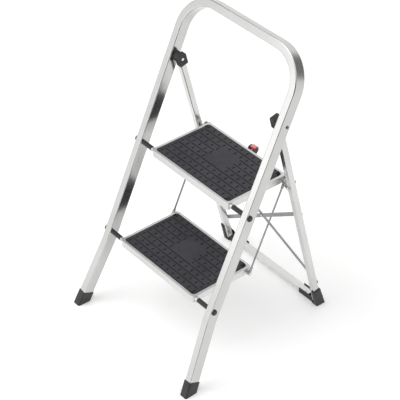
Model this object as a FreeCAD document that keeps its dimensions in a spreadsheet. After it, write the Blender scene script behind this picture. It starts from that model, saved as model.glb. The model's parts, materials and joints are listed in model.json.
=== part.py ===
"""Two-step folding step stool with a hand rail, in millimetres.

Frame: X to the right, Y to the rear, Z up. The origin is on the floor, in the middle of the footprint.
The front frame leans back, the rear frame is hinged on it near the hand rail, and both treads turn about
axles through the front legs. Two link rods keep the treads parallel while the stool folds.
"""

import FreeCAD
import Part
import math
import os
import re
import Sketcher

Vector = FreeCAD.Vector
X_AXIS = Vector(1, 0, 0)
Y_AXIS = Vector(0, 1, 0)
Z_AXIS = Vector(0, 0, 1)

# Driving dimensions. Heights along a leg are measured from the floor, widths are half widths from the middle.
SIZES = {
    "lean_angle": 24.55,
    "stance_depth": 494.9,
    "rail_corner_radius": 97.0,
    "foot_splay": 19.4,
    "flare_below_axle": 27.0,
    "flare_radius": 150.0,
    "tube_width": 20.0,
    "tube_depth": 30.0,
    "tube_corner": 2.5,
    "tube_wall": 1.6,
    "front_foot_height": 40.0,
    "front_foot_wall": 2.0,
    "front_foot_sole": 4.0,
    "axle_offset": 8.0,
    "upper_axle_height": 476.0,
    "lower_axle_height": 227.0,
    "axle_diameter": 8.0,
    "axle_cap_diameter": 15.0,
    "axle_cap_thickness": 5.0,
    "axle_cap_round": 3.0,
    "bush_diameter": 10.6,
    "bush_length": 7.0,
    "sleeve_diameter": 12.0,
    "tray_half_width": 142.0,
    "tray_front": 9.8,
    "tray_behind_stud": 7.7,
    "tray_rise": 7.45,
    "tray_height": 19.0,
    "tray_wall": 2.0,
    "tray_corner": 9.0,
    "tray_lip": 1.0,
    "tray_rim_height": 3.0,
    "tray_rim_round": 0.9,
    "skirt_hole_inset": 28.5,
    "skirt_hole_diameter": 4.0,
    "mat_side_margin": 8.0,
    "mat_end_margin": 7.4,
    "mat_corner": 7.0,
    "mat_thickness": 3.0,
    "mat_recess": 2.0,
    "mat_round": 0.8,
    "hinge_height": 706.5,
    "hinge_below_bend": 72.9,
    "hinge_offset": 20.0,
    "hinge_pin_diameter": 6.0,
    "hinge_end_diameter": 7.5,
    "hinge_end_thickness": 1.2,
    "hinge_head_diameter": 8.0,
    "hinge_head_thickness": 2.0,
    "hinge_spacer_diameter": 25.0,
    "hinge_spacer_thickness": 3.0,
    "hinge_recess_diameter": 10.4,
    "hinge_recess_depth": 2.0,
    "hinge_cap_front": 11.5,
    "hinge_cap_rear": 12.0,
    "hinge_cap_top": 11.5,
    "hinge_cap_bottom": 18.0,
    "hinge_cap_wall": 3.0,
    "hinge_cap_skin": 2.0,
    "hinge_cap_shoulder": 6.5,
    "hinge_cap_round": 1.6,
    "rear_tube_width": 16.0,
    "rear_tube_depth": 16.0,
    "rear_tube_corner": 2.0,
    "rear_tube_wall": 1.2,
    "rear_tube_overlap": 7.5,
    "shoe_heel": 16.0,
    "shoe_depth": 24.2,
    "shoe_reach": 54.0,
    "shoe_back_reach": 56.0,
    "shoe_collar_height": 56.0,
    "shoe_window_height": 9.0,
    "shoe_opening": 7.0,
    "shoe_wall": 2.6,
    "shoe_back_wall": 3.7,
    "shoe_strip": 1.8,
    "shoe_sole": 5.5,
    "shoe_lip": 14.3,
    "shoe_back_height": 16.5,
    "shoe_drain_margin": 2.0,
    "shoe_drain_width": 17.0,
    "shoe_boss_half": 6.0,
    "shoe_fit": 0.1,
    "crossbar_rise": 2.0,
    "crossbar_depth": 18.3,
    "crossbar_height": 11.5,
    "crossbar_end_inset": 22.0,
    "crossbar_wall": 1.5,
    "crossbar_rivet_inset": 34.0,
    "crossbar_rivet_back": 4.5,
    "crossbar_rivet_depth": 8.0,
    "crossbar_rivet_head": 7.0,
    "brace_width": 11.0,
    "brace_thickness": 2.0,
    "brace_low": 76.0,
    "brace_high": 335.0,
    "rivet_diameter": 4.0,
    "rivet_head_diameter": 8.0,
    "rivet_head_thickness": 1.4,
    "rivet_inside_diameter": 6.0,
    "stud_diameter": 10.0,
    "stud_neck_diameter": 7.0,
    "stud_drop": 19.6,
    "stud_overhang": 1.0,
    "stud_clearance": 0.7,
    "stud_round": 1.0,
    "stud_boss_diameter": 12.4,
    "stud_boss_length": 4.0,
    "stud_plate_width": 12.0,
    "stud_plate_below": 11.0,
    "stud_plate_above": 27.0,
    "stud_plate_thickness": 2.5,
    "stud_plate_corner": 0.5,
    "stud_screw_diameter": 3.0,
    "stud_screw_head_diameter": 5.0,
    "stud_screw_head_height": 1.5,
    "stud_screw_low": 9.0,
    "stud_screw_pitch": 10.0,
    "stud_screw_forward": 3.0,
    "link_clearance": 6.0,
    "link_pin_inset": 12.3,
    "link_pin_drop": 5.65,
    "link_pin_diameter": 6.0,
    "link_pin_head_diameter": 9.0,
    "link_pin_head_thickness": 2.0,
    "link_pin_end_diameter": 7.0,
    "link_diameter": 4.5,
    "link_eye_diameter": 10.0,
    "link_eye_thickness": 3.4,
    "link_neck_length": 17.0,
    "link_neck_width": 7.0,
    "link_neck_overlap": 3.0,
    "link_play": 0.3,
    "link_side_play": 0.2,
    "hook_thickness": 2.5,
    "hook_flange_length": 38.0,
    "hook_flange_height": 13.0,
    "hook_flange_drop": 1.3,
    "hook_rivet_inset": 25.0,
    "hook_rivet_pitch": 9.0,
    "hook_rivet_drop": 3.3,
    "hook_seat_length": 9.0,
    "hook_prong_width": 5.0,
    "hook_prong_drop": 3.0,
    "latch_behind_tray": 11.0,
    "latch_drop": 13.3,
    "latch_shaft_diameter": 6.0,
    "latch_shaft_end": 1.0,
    "catch_thickness": 2.8,
    "catch_hub_diameter": 12.0,
    "catch_nose_gap": 3.0,
    "catch_nose_drop": 5.5,
    "catch_nose_height": 3.5,
    "lever_half_width": 2.5,
    "lever_length": 9.5,
    "lever_lean": 8.5,
    "lever_thickness": 4.0,
    "lever_tip_thickness": 3.0,
    "lever_tip_rise": 3.2,
    "lever_tip_play": 1.0,
    "lever_hub_wall": 1.5,
    "button_behind_tray": 16.8,
    "button_half_width": 9.0,
    "button_length": 14.0,
    "button_rise": 2.0,
    "button_drop": 8.5,
    "button_round": 4.0,
    "housing_wall": 1.7,
    "housing_drop": 20.0,
    "housing_rise": 1.0,
    "housing_front_rise": 3.0,
    "housing_saddle_drop": 5.0,
    "housing_saddle_width": 4.0,
    "housing_length": 28.3,
    "housing_nose": 3.0,
    "housing_knee": 5.3,
    "spring_wire": 0.8,
    "spring_pitch": 1.3,
    "spring_turns": 3.0,
    "spring_clearance": 0.6,
    "running_gap": 0.05,
    "side_gap": 0.3,
}

doc = FreeCAD.newDocument("folding_step_stool")
sheet = doc.addObject("Spreadsheet::Sheet", "Sizes")
for row, (alias, number) in enumerate(SIZES.items(), start=1):
    sheet.set(f"A{row}", alias)
    sheet.set(f"B{row}", str(number))
    sheet.setAlias(f"B{row}", alias)
doc.recompute()

parts = []


def size(expression):
    """Gives the number that an expression of sheet sizes stands for."""
    return float(sheet.evalExpression(str(expression)))


def bound(expression):
    """Writes an expression of sizes as one that other objects can use."""
    def cell(word):
        return f"Sizes.{word[0]}" if word[0] in SIZES else word[0]

    return re.sub("[a-z_]+", cell, str(expression))


def drive(item, name, expression):
    """Binds one property of an object to the sheet."""
    item.setExpression(name, bound(expression))


def keep(item, label):
    """Names a finished sub-part, which is then checked and written to its own file."""
    item.Label = label
    parts.append(item)
    return item


def keep_pair(item, name):
    """Keeps a right-hand sub-part and its mirror image on the left."""
    mirror = doc.addObject("Part::Mirroring", name)
    mirror.Source = item
    mirror.Normal = X_AXIS
    keep(mirror, f"{name}_left")
    return keep(item, f"{name}_right")


def new_body(name, placement):
    """Starts a body with a place of its own."""
    body = doc.addObject("PartDesign::Body", name)
    body.Placement = placement
    return body


def new_sketch(body, plane, offset=0):
    """Starts a sketch on one of the body's own origin planes, moved along its normal."""
    planes = {feature.Role: feature for feature in body.Origin.OriginFeatures}
    sketch = body.newObject("Sketcher::SketchObject", "Sketch")
    sketch.AttachmentSupport = [(planes[plane], "")]
    sketch.MapMode = "FlatFace"
    drive(sketch, "AttachmentOffset.Base.z", offset)
    return sketch


def fix(sketch, edge, point, across=None, up=None):
    """Ties one point of a sketch to expressions for its place."""
    for kind, expression, axis in (("DistanceX", across, -2), ("DistanceY", up, -1)):
        if expression is None:
            continue
        value = size(expression)
        if abs(value) < 1e-9:
            sketch.addConstraint(Sketcher.Constraint("PointOnObject", edge, point, axis))
        else:
            number = sketch.addConstraint(Sketcher.Constraint(kind, -1, 1, edge, point, value))
            drive(sketch, f"Constraints[{number}]", expression)


def outline(sketch, corners):
    """Draws a closed outline of straight edges through its corners."""
    points = [Vector(size(across), size(up), 0) for across, up in corners]
    first = sketch.GeometryCount
    for start, end in zip(points, points[1:] + points[:1]):
        sketch.addGeometry(Part.LineSegment(start, end), False)
    for index, (across, up) in enumerate(corners):
        before = first + (index - 1) % len(corners)
        sketch.addConstraint(Sketcher.Constraint("Coincident", before, 2, first + index, 1))
        fix(sketch, first + index, 1, across, up)


def rounded_outline(sketch, left, right, low, high, radius):
    """Draws a rectangle with round corners."""
    bend = size(radius)
    x0, x1, y0, y1 = size(left), size(right), size(low), size(high)
    first = sketch.GeometryCount
    sides = (
        (Vector(x0 + bend, y0, 0), Vector(x1 - bend, y0, 0)),
        (Vector(x1, y0 + bend, 0), Vector(x1, y1 - bend, 0)),
        (Vector(x1 - bend, y1, 0), Vector(x0 + bend, y1, 0)),
        (Vector(x0, y1 - bend, 0), Vector(x0, y0 + bend, 0)),
    )
    centres = (
        Vector(x1 - bend, y0 + bend, 0),
        Vector(x1 - bend, y1 - bend, 0),
        Vector(x0 + bend, y1 - bend, 0),
        Vector(x0 + bend, y0 + bend, 0),
    )
    for number, ((start, end), centre) in enumerate(zip(sides, centres)):
        sketch.addGeometry(Part.LineSegment(start, end), False)
        turn = math.radians(-90 + 90 * number)
        circle = Part.Circle(centre, Z_AXIS, bend)
        sketch.addGeometry(Part.ArcOfCircle(circle, turn, turn + math.pi / 2), False)
    for number in range(4):
        line = first + 2 * number
        arc = line + 1
        following = first + (2 * number + 2) % 8
        sketch.addConstraint(Sketcher.Constraint("Tangent", line, 2, arc, 1))
        sketch.addConstraint(Sketcher.Constraint("Tangent", arc, 2, following, 1))
        sketch.addConstraint(Sketcher.Constraint("Horizontal" if number % 2 == 0 else "Vertical", line))
        if number:
            sketch.addConstraint(Sketcher.Constraint("Equal", first + 1, arc))
    curve = sketch.addConstraint(Sketcher.Constraint("Radius", first + 1, bend))
    drive(sketch, f"Constraints[{curve}]", radius)
    fix(sketch, first, 1, up=low)
    fix(sketch, first + 2, 1, across=right)
    fix(sketch, first + 4, 1, up=high)
    fix(sketch, first + 6, 1, across=left)


def pad(body, sketch, length):
    """Pads a sketch along its normal."""
    feature = body.newObject("PartDesign::Pad", "Pad")
    feature.Profile = sketch
    drive(feature, "Length", length)
    doc.recompute()
    return feature


def pocket(body, sketch, length):
    """Cuts a sketch's shape out of the body along the sketch's normal."""
    before = body.Shape.Volume
    feature = body.newObject("PartDesign::Pocket", "Pocket")
    feature.Profile = sketch
    feature.Reversed = True
    drive(feature, "Length", length)
    doc.recompute()
    if body.Shape.Volume > before - 1e-3:
        raise RuntimeError(f"{body.Label}: a pocket cuts nothing")
    return feature


def edges_where(shape, test):
    """Names the edges of a shape that pass a test."""
    return [f"Edge{number}" for number, edge in enumerate(shape.Edges, start=1) if test(edge)]


def runs_along(edge, axis):
    """Tells whether an edge is straight and parallel to an axis."""
    if not isinstance(edge.Curve, Part.Line):
        return False
    return abs(abs(edge.Curve.Direction.dot(axis)) - 1) < 1e-6


def round_edges(body, radius, test):
    """Rounds the edges of the body's last feature that pass a test."""
    base = body.Tip
    feature = body.newObject("PartDesign::Fillet", "Fillet")
    feature.Base = (base, edges_where(base.Shape, test))
    drive(feature, "Radius", radius)
    doc.recompute()


def slab(name, placement, corners, low, high):
    """Makes a body with its outline in its own side view and its thickness along X."""
    body = new_body(name, placement)
    sketch = new_sketch(body, "YZ_Plane", low)
    outline(sketch, corners)
    pad(body, sketch, f"({high}) - ({low})")
    return body


def bar(name, placement, left, right, low, high, corner, bottom, length):
    """Makes an upright bar with a round-cornered section."""
    body = new_body(name, placement)
    sketch = new_sketch(body, "XY_Plane", bottom)
    rounded_outline(sketch, left, right, low, high, corner)
    pad(body, sketch, length)
    return body


def block(name, placement, low, high):
    """Makes a box between two corners."""
    box = doc.addObject("Part::Box", name)
    for side, start, end in zip(("Length", "Width", "Height"), low, high):
        drive(box, side, f"({end}) - ({start})")
    box.Placement = placement * FreeCAD.Placement(Vector(*(size(start) for start in low)), FreeCAD.Rotation())
    return box


def rod(name, start, direction, radius, length):
    """Makes a cylinder from a point along a direction."""
    cylinder = doc.addObject("Part::Cylinder", name)
    drive(cylinder, "Radius", radius)
    drive(cylinder, "Height", length)
    cylinder.Placement = FreeCAD.Placement(start, FreeCAD.Rotation(Z_AXIS, direction))
    return cylinder


def turned(name, placement, start, steps, bore=0):
    """Makes a turned piece along its own X axis, from steps that each have an end and a radius."""
    body = new_body(name, placement)
    sketch = new_sketch(body, "XY_Plane")
    corners = [(start, bore)]
    begin = start
    for end, radius in steps:
        corners += [(begin, radius), (end, radius)]
        begin = end
    corners.append((begin, bore))
    outline(sketch, corners)
    feature = body.newObject("PartDesign::Revolution", "Revolution")
    feature.Profile = sketch
    feature.ReferenceAxis = (sketch, ["H_Axis"])
    feature.Angle = 360
    doc.recompute()
    return body


def joined(name, pieces):
    """Fuses touching pieces into one solid."""
    fuse = doc.addObject("Part::MultiFuse", name)
    fuse.Shapes = pieces
    fuse.Refine = True
    doc.recompute()
    return fuse


def grouped(name, pieces):
    """Holds separate solids together in one sub-part."""
    group = doc.addObject("Part::Compound", name)
    group.Links = pieces
    doc.recompute()
    return group


def without(name, base, tools):
    """Cuts tools out of a base."""
    cut = doc.addObject("Part::Cut", name)
    cut.Base = base
    cut.Tool = tools[0] if len(tools) == 1 else grouped(f"{name}_tools", tools)
    doc.recompute()
    if cut.Shape.Volume > base.Shape.Volume - 1e-3:
        raise RuntimeError(f"{name}: a cut removes nothing")
    return cut


def shared(name, first, second):
    """Keeps what two solids have in common."""
    common = doc.addObject("Part::Common", name)
    common.Base = first
    common.Tool = second
    doc.recompute()
    return common


# Places that several pieces share, as expressions of sizes. Across the stool each layer starts where the
# one inside it ends: tread, link rod, hook, catch, stud, rear leg, hinge spacer and hand-rail tube.
rail_length = "(hinge_height + hinge_below_bend + rail_corner_radius)"
reach = rail_length
half_stance = "stance_depth / 2"
link_offset = "(tray_half_width + link_clearance)"
link_pin_head = f"({link_offset} + link_eye_thickness / 2 + link_side_play)"
hook_inner = f"({link_pin_head} + link_pin_head_thickness + side_gap)"
hook_outer = f"({hook_inner} + hook_thickness)"
catch_inner = f"({hook_outer} + side_gap)"
catch_outer = f"({catch_inner} + catch_thickness)"
stud_boss_inner = f"({catch_outer} + stud_clearance)"
stud_plate_inner = f"({stud_boss_inner} + stud_boss_length)"
rear_inner = f"({stud_plate_inner} + stud_plate_thickness)"
rear_outer = f"({rear_inner} + rear_tube_width)"
rear_middle = f"({rear_inner} + rear_tube_width / 2)"
hinge_cap_outer = f"({rear_outer} + hinge_cap_skin)"
hinge_spacer_outer = f"({hinge_cap_outer} + side_gap + hinge_spacer_thickness)"
leg_inner = f"({hinge_spacer_outer} + side_gap)"
leg_outer = f"({leg_inner} + tube_width)"
leg_middle = f"({leg_inner} + tube_width / 2)"
foot_outer = f"({leg_outer} + foot_splay)"
flare_height = "(lower_axle_height - flare_below_axle)"
tray_side = "(tray_half_width - tray_lip)"
mat_side = "(tray_half_width - mat_side_margin)"
mat_front = "(tray_front - mat_end_margin)"

# Seen from the side, y to the rear and z up
front_line = f"(front_foot_wall / cos(lean_angle) - {half_stance})"


def behind_floor_line(offset, height):
    """Gives the y of a point of the front frame, as an expression."""
    return f"({front_line} + {offset} * cos(lean_angle) + {height} * sin(lean_angle))"


def above_floor(offset, height):
    """Gives the z of a point of the front frame, as an expression."""
    return f"({height} * cos(lean_angle) - {offset} * sin(lean_angle))"


axle_back = behind_floor_line("axle_offset", "upper_axle_height")
axle_up = above_floor("axle_offset", "upper_axle_height")
hinge_back = behind_floor_line("hinge_offset", "hinge_height")
hinge_up = above_floor("hinge_offset", "hinge_height")
heel_back = f"({half_stance} - shoe_heel)"
stud_share = f"(1 - ({axle_up} - stud_drop) / {hinge_up})"
stud_back = f"({hinge_back} + ({heel_back} - {hinge_back}) * {stud_share} - {axle_back})"
tray_rear = f"({stud_back} + tray_behind_stud)"
tray_back = f"({tray_rear} - tray_lip)"
mat_rear = f"({tray_rear} - mat_end_margin)"
link_pin_back = f"({tray_rear} - link_pin_inset)"
skirt_hole_back = f"({tray_rear} - skirt_hole_inset)"
latch_back = f"({tray_rear} + latch_behind_tray)"

world = FreeCAD.Placement()
front_frame = FreeCAD.Placement(Vector(0, size(front_line), 0), FreeCAD.Rotation(X_AXIS, -size("lean_angle")))
upper_axle = front_frame.multVec(Vector(0, size("axle_offset"), size("upper_axle_height")))
lower_axle = front_frame.multVec(Vector(0, size("axle_offset"), size("lower_axle_height")))
hinge = front_frame.multVec(Vector(0, size("hinge_offset"), size("hinge_height")))
rear_spread = size(heel_back) - hinge.y
rear_angle = math.atan2(rear_spread, hinge.z)
rear_length = math.hypot(rear_spread, hinge.z)
rear_frame = FreeCAD.Placement(hinge, FreeCAD.Rotation(X_AXIS, math.degrees(rear_angle)))
upper_frame = FreeCAD.Placement(upper_axle, FreeCAD.Rotation())
lower_frame = FreeCAD.Placement(lower_axle, FreeCAD.Rotation())
stud_along = size(f"{axle_up} - stud_drop") / math.cos(rear_angle)


def on_rear(across, behind, along):
    """Gives a point of the rear frame, with its height along the leg from the floor."""
    return rear_frame.multVec(Vector(across, behind, along - rear_length))


def facing(placement, axis, point):
    """Gives a placement at a local point, with the own X axis turned to a local axis."""
    return placement * FreeCAD.Placement(point, FreeCAD.Rotation(X_AXIS, axis))


def make_bow():
    """The bent tube that is both front legs and the hand rail."""
    body = new_body("handrail_bow", front_frame)
    middle = size(leg_middle)
    top = size(f"{rail_length} - tube_width / 2")
    bend = size("rail_corner_radius - tube_width / 2")
    flare_from = size(flare_height)
    flare = math.atan2(size("foot_splay"), flare_from)
    flare_bend = size("flare_radius")
    tangent = flare_bend * math.tan(flare / 2)
    below = size("tube_depth")

    path = new_sketch(body, "XZ_Plane")
    corner = Part.Circle(Vector(middle - bend, top - bend, 0), Z_AXIS, bend)
    knee = Part.Circle(Vector(middle + flare_bend, flare_from + tangent, 0), Z_AXIS, flare_bend)
    knee_end = Vector(middle + tangent * math.sin(flare), flare_from - tangent * math.cos(flare), 0)
    foot = Vector(middle + (flare_from + below) * math.tan(flare), -below, 0)
    for geometry in (
        Part.LineSegment(Vector(0, top, 0), Vector(middle - bend, top, 0)),
        Part.ArcOfCircle(corner, 0, math.pi / 2),
        Part.LineSegment(Vector(middle, top - bend, 0), Vector(middle, flare_from + tangent, 0)),
        Part.ArcOfCircle(knee, math.pi, math.pi + flare),
        Part.LineSegment(knee_end, foot),
    ):
        path.addGeometry(geometry, False)
    joints = ((0, 2, 1, 2), (1, 1, 2, 1), (2, 2, 3, 1), (3, 2, 4, 1))
    for edge, point, other, other_point in joints:
        path.addConstraint(Sketcher.Constraint("Tangent", edge, point, other, other_point))
    fix(path, 0, 1, 0, f"{rail_length} - tube_width / 2")
    path.addConstraint(Sketcher.Constraint("Horizontal", 0))
    path.addConstraint(Sketcher.Constraint("Vertical", 2))
    fix(path, 2, 1, across=leg_middle)
    corner_radius = path.addConstraint(Sketcher.Constraint("Radius", 1, bend))
    drive(path, f"Constraints[{corner_radius}]", "rail_corner_radius - tube_width / 2")
    knee_radius = path.addConstraint(Sketcher.Constraint("Radius", 3, flare_bend))
    drive(path, f"Constraints[{knee_radius}]", "flare_radius")
    fix(path, 3, 3, up=flare_from + tangent)
    fix(path, 4, 2, foot.x, foot.y)

    section = new_sketch(body, "YZ_Plane")
    rounded_outline(section, 0, "tube_depth", f"{rail_length} - tube_width", rail_length, "tube_corner")
    rounded_outline(section, "tube_wall", "tube_depth - tube_wall", f"{rail_length} - tube_width + tube_wall",
                    f"{rail_length} - tube_wall", "tube_corner - tube_wall")
    doc.recompute()
    pipe = body.newObject("PartDesign::AdditivePipe", "Pipe")
    pipe.Profile = section
    pipe.Spine = (path, [f"Edge{number}" for number in range(1, 6)])
    pipe.Mode = "Standard"
    doc.recompute()

    def cut_across(draw):
        sketch = new_sketch(body, "YZ_Plane")
        draw(sketch)
        before = body.Shape.Volume
        feature = body.newObject("PartDesign::Pocket", "Pocket")
        feature.Profile = sketch
        feature.Type = "ThroughAll"
        feature.Midplane = True
        doc.recompute()
        if body.Shape.Volume > before - 1e-3:
            raise RuntimeError("handrail_bow: a pocket cuts nothing")

    margin = size("tube_depth")

    def sole_height(behind):
        return f"(front_foot_sole + ({behind}) * sin(lean_angle)) / cos(lean_angle)"

    def draw_floor(sketch):
        back = below + margin
        low = -2 * (below + margin)
        corners = [(-margin, sole_height(-margin)), (-margin, low), (back, low), (back, sole_height(back))]
        outline(sketch, corners)

    def draw_bores(sketch):
        for across, up, diameter in (
            ("axle_offset", "upper_axle_height", "axle_diameter"),
            ("axle_offset", "lower_axle_height", "axle_diameter"),
            ("hinge_offset", "hinge_height", "hinge_pin_diameter"),
        ):
            radius = f"{diameter} / 2 + running_gap"
            centre = Vector(size(across), size(up), 0)
            circle = sketch.addGeometry(Part.Circle(centre, Z_AXIS, size(radius)), False)
            fix(sketch, circle, 3, across, up)
            number = sketch.addConstraint(Sketcher.Constraint("Radius", circle, size(radius)))
            drive(sketch, f"Constraints[{number}]", radius)

    cut_across(draw_floor)
    cut_across(draw_bores)
    planes = {feature.Role: feature for feature in body.Origin.OriginFeatures}
    mirror = body.newObject("PartDesign::Mirrored", "Mirrored")
    mirror.MirrorPlane = (planes["YZ_Plane"], [""])
    mirror.TransformMode = "Whole shape"
    body.Tip = mirror
    doc.recompute()
    keep(body, "handrail_bow")


def make_front_feet():
    """Black caps on the splayed ends of the bow, cut level with the floor."""
    flare = math.degrees(math.atan2(size("foot_splay"), size(flare_height)))
    middle = Vector(size(f"{foot_outer} - tube_width / 2"), 0, 0)
    leg = front_frame * FreeCAD.Placement(middle, FreeCAD.Rotation(Y_AXIS, -flare))
    half = "tube_width / 2"
    wall = "front_foot_wall"
    below = "tube_depth"
    outer = bar("front_foot_outside", leg, f"-{half} - {wall}", f"{half} + {wall}", f"-{wall}",
                f"tube_depth + {wall}", f"tube_corner + {wall}", f"-{below}", f"{below} + front_foot_height")
    gap = "running_gap"
    socket = bar("front_foot_socket", leg, f"-{half} - {gap}", f"{half} + {gap}", f"-{gap}",
                 f"tube_depth + {gap}", f"tube_corner + {gap}", f"-{below}",
                 f"{below} + 2 * front_foot_height")
    room = block("room_above_floor", world, (0, f"-{reach}", 0), (reach, reach, reach))
    sole_room = block("room_above_sole", world, (0, f"-{reach}", "front_foot_sole"), (reach, reach, reach))
    cap = shared("front_foot_cap", outer, room)
    hole = shared("front_foot_hole", socket, sole_room)
    keep_pair(without("front_foot", cap, [hole]), "front_foot")


def make_axles():
    """The two axles, their end caps, and the bushes and sleeves between the treads and the legs."""
    for name, place in (("upper", upper_axle), ("lower", lower_axle)):
        axle = rod(f"{name}_axle", place - X_AXIS * size(leg_outer), X_AXIS, "axle_diameter / 2",
                   f"2 * {leg_outer}")
        keep(axle, f"{name}_axle")
        frame = FreeCAD.Placement(place, FreeCAD.Rotation())
        cap = turned(f"{name}_axle_cap", frame, leg_outer,
                     [(f"{leg_outer} + axle_cap_thickness", "axle_cap_diameter / 2")])
        outer = size(f"{leg_outer} + axle_cap_thickness")
        round_edges(cap, "axle_cap_round", lambda edge: abs(edge.CenterOfMass.x - outer) < 1e-6)
        keep_pair(cap, f"{name}_axle_cap")
        bore = "axle_diameter / 2 + running_gap"
        bush_start = "tray_half_width + side_gap"
        bush_end = f"{bush_start} + bush_length"
        bush = turned(f"{name}_axle_bush", frame, bush_start, [(bush_end, "bush_diameter / 2")], bore)
        keep_pair(bush, f"{name}_axle_bush")
        sleeve = turned(f"{name}_axle_sleeve", frame, f"{bush_end} + side_gap",
                        [(f"{leg_inner} - side_gap", "sleeve_diameter / 2")], bore)
        keep_pair(sleeve, f"{name}_axle_sleeve")


def make_hinge():
    """The pins that carry the rear frame, their spacers, and the moulded caps of the rear legs."""
    frame = FreeCAD.Placement(hinge, FreeCAD.Rotation())
    gap = "running_gap"
    cap_inner = f"({rear_inner} - hinge_cap_wall)"
    recess_end = f"({cap_inner} + hinge_recess_depth)"
    head_end = f"({leg_outer} + hinge_head_thickness)"
    pin = turned("hinge_pin", frame, f"{recess_end} - side_gap - hinge_end_thickness",
                 [(f"{recess_end} - side_gap", "hinge_end_diameter / 2"),
                  (leg_outer, "hinge_pin_diameter / 2"),
                  (head_end, "hinge_head_diameter / 2")])
    outer = size(head_end)
    round_edges(pin, "hinge_head_thickness * 0.6", lambda edge: abs(edge.CenterOfMass.x - outer) < 1e-6)
    keep_pair(pin, "hinge_pin")
    bore_radius = f"hinge_pin_diameter / 2 + {gap}"
    spacer = turned("hinge_spacer", frame, f"{hinge_cap_outer} + side_gap",
                    [(hinge_spacer_outer, "hinge_spacer_diameter / 2")], bore_radius)
    keep_pair(spacer, "hinge_spacer")

    corners = [("-hinge_cap_front", "-hinge_cap_bottom"), ("-hinge_cap_front", "hinge_cap_top"),
               ("hinge_cap_rear", "hinge_cap_top"), ("hinge_cap_rear", "-hinge_cap_bottom")]
    shoulder = f"({hinge_cap_outer} - hinge_cap_shoulder)"
    cap = slab("hinge_cap_block", rear_frame, corners, cap_inner, shoulder)
    round_edges(cap, "hinge_cap_round", lambda edge: runs_along(edge, X_AXIS))
    boss = rod("hinge_cap_boss", hinge + X_AXIS * size(shoulder), X_AXIS, "hinge_spacer_diameter / 2",
               "hinge_cap_shoulder")
    socket = bar("hinge_cap_socket", rear_frame, f"{rear_inner} - {gap}", f"{rear_outer} + {gap}",
                 f"-rear_tube_depth / 2 - {gap}", f"rear_tube_depth / 2 + {gap}", f"rear_tube_corner + {gap}",
                 "-2 * hinge_cap_bottom", f"2 * hinge_cap_bottom + rear_tube_overlap + {gap}")
    bore = rod("hinge_cap_bore", hinge, X_AXIS, bore_radius, reach)
    recess = rod("hinge_cap_recess", hinge, X_AXIS, "hinge_recess_diameter / 2", recess_end)
    blank = joined("hinge_cap_blank", [cap, boss])
    keep_pair(without("hinge_cap", blank, [socket, bore, recess]), "hinge_cap")


def make_rear_legs():
    """The two rear tubes, from inside the shoes to just above the hinge."""
    lowest = size("shoe_sole") / math.cos(rear_angle) + size("rear_tube_depth / 2") * math.tan(rear_angle)
    bottom = lowest - rear_length
    half = "rear_tube_depth / 2"
    wall = "rear_tube_wall"
    body = new_body("rear_tube", rear_frame)
    sketch = new_sketch(body, "XY_Plane", bottom)
    rounded_outline(sketch, rear_inner, rear_outer, f"-{half}", half, "rear_tube_corner")
    rounded_outline(sketch, f"{rear_inner} + {wall}", f"{rear_outer} - {wall}", f"{wall} - {half}",
                    f"{half} - {wall}", f"rear_tube_corner - {wall}")
    pad(body, sketch, f"rear_tube_overlap - {bottom}")
    gap = "running_gap"
    holes = [rod("rear_leg_hinge_bore", hinge, X_AXIS, f"hinge_pin_diameter / 2 + {gap}", reach)]
    rearward = rear_frame.Rotation.multVec(Y_AXIS)
    for along in ("brace_low", "brace_high"):
        start = on_rear(size(rear_middle), 0, size(along))
        holes.append(rod("rear_leg_rivet_bore", start, rearward, f"rivet_diameter / 2 + {gap}", reach))
    for point in stud_screw_places():
        holes.append(rod("rear_leg_screw_bore", on_rear(*point), X_AXIS, f"stud_screw_diameter / 2 + {gap}",
                         "stud_plate_thickness + 2 * rear_tube_wall"))
    keep_pair(without("rear_leg", body, holes), "rear_leg")


def stud_screw_places():
    """Gives the two screw places on a stud's plate, at the plate's inner face."""
    across = size(stud_plate_inner)
    places = []
    for number in range(2):
        along = stud_along + size(f"stud_screw_low + {number} * stud_screw_pitch")
        places.append((across, -size("stud_screw_forward"), along))
    return places


def make_studs():
    """The studs that the upper tread rests on, and the plates that hold them on the rear legs."""
    foot = rear_frame * FreeCAD.Placement(Vector(0, 0, stud_along - rear_length), FreeCAD.Rotation())
    stud_inner = size(f"{hook_inner} - stud_overhang")
    stud = turned("tread_stud", foot, stud_inner,
                  [(f"{stud_boss_inner} - side_gap / 2", "stud_diameter / 2"),
                   (rear_inner, "stud_neck_diameter / 2")])
    round_edges(stud, "stud_round", lambda edge: abs(edge.CenterOfMass.x - stud_inner) < 1e-6)
    keep_pair(stud, "tread_stud")
    half = "stud_plate_width / 2"
    plate = bar("stud_plate", foot, stud_plate_inner, rear_inner, f"-{half}", half, "stud_plate_corner",
                "-stud_plate_below", "stud_plate_below + stud_plate_above")
    boss = turned("stud_boss", foot, stud_boss_inner, [(rear_inner, "stud_boss_diameter / 2")])
    holes = [rod("stud_bore", foot.Base, X_AXIS, "stud_neck_diameter / 2 + running_gap", reach)]
    screws = []
    for point in stud_screw_places():
        place = on_rear(*point)
        holes.append(rod("stud_screw_bore", place, X_AXIS, "stud_screw_diameter / 2 + running_gap", reach))
        frame = FreeCAD.Placement(place, FreeCAD.Rotation())
        screws.append(turned("stud_screw", frame, "-stud_screw_head_height",
                             [(0, "stud_screw_head_diameter / 2"),
                              ("stud_plate_thickness + 2 * rear_tube_wall", "stud_screw_diameter / 2")]))
    keep_pair(without("stud_bracket", joined("stud_bracket_blank", [plate, boss]), holes), "stud_bracket")
    keep_pair(grouped("stud_screws", screws), "stud_screws")


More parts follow.
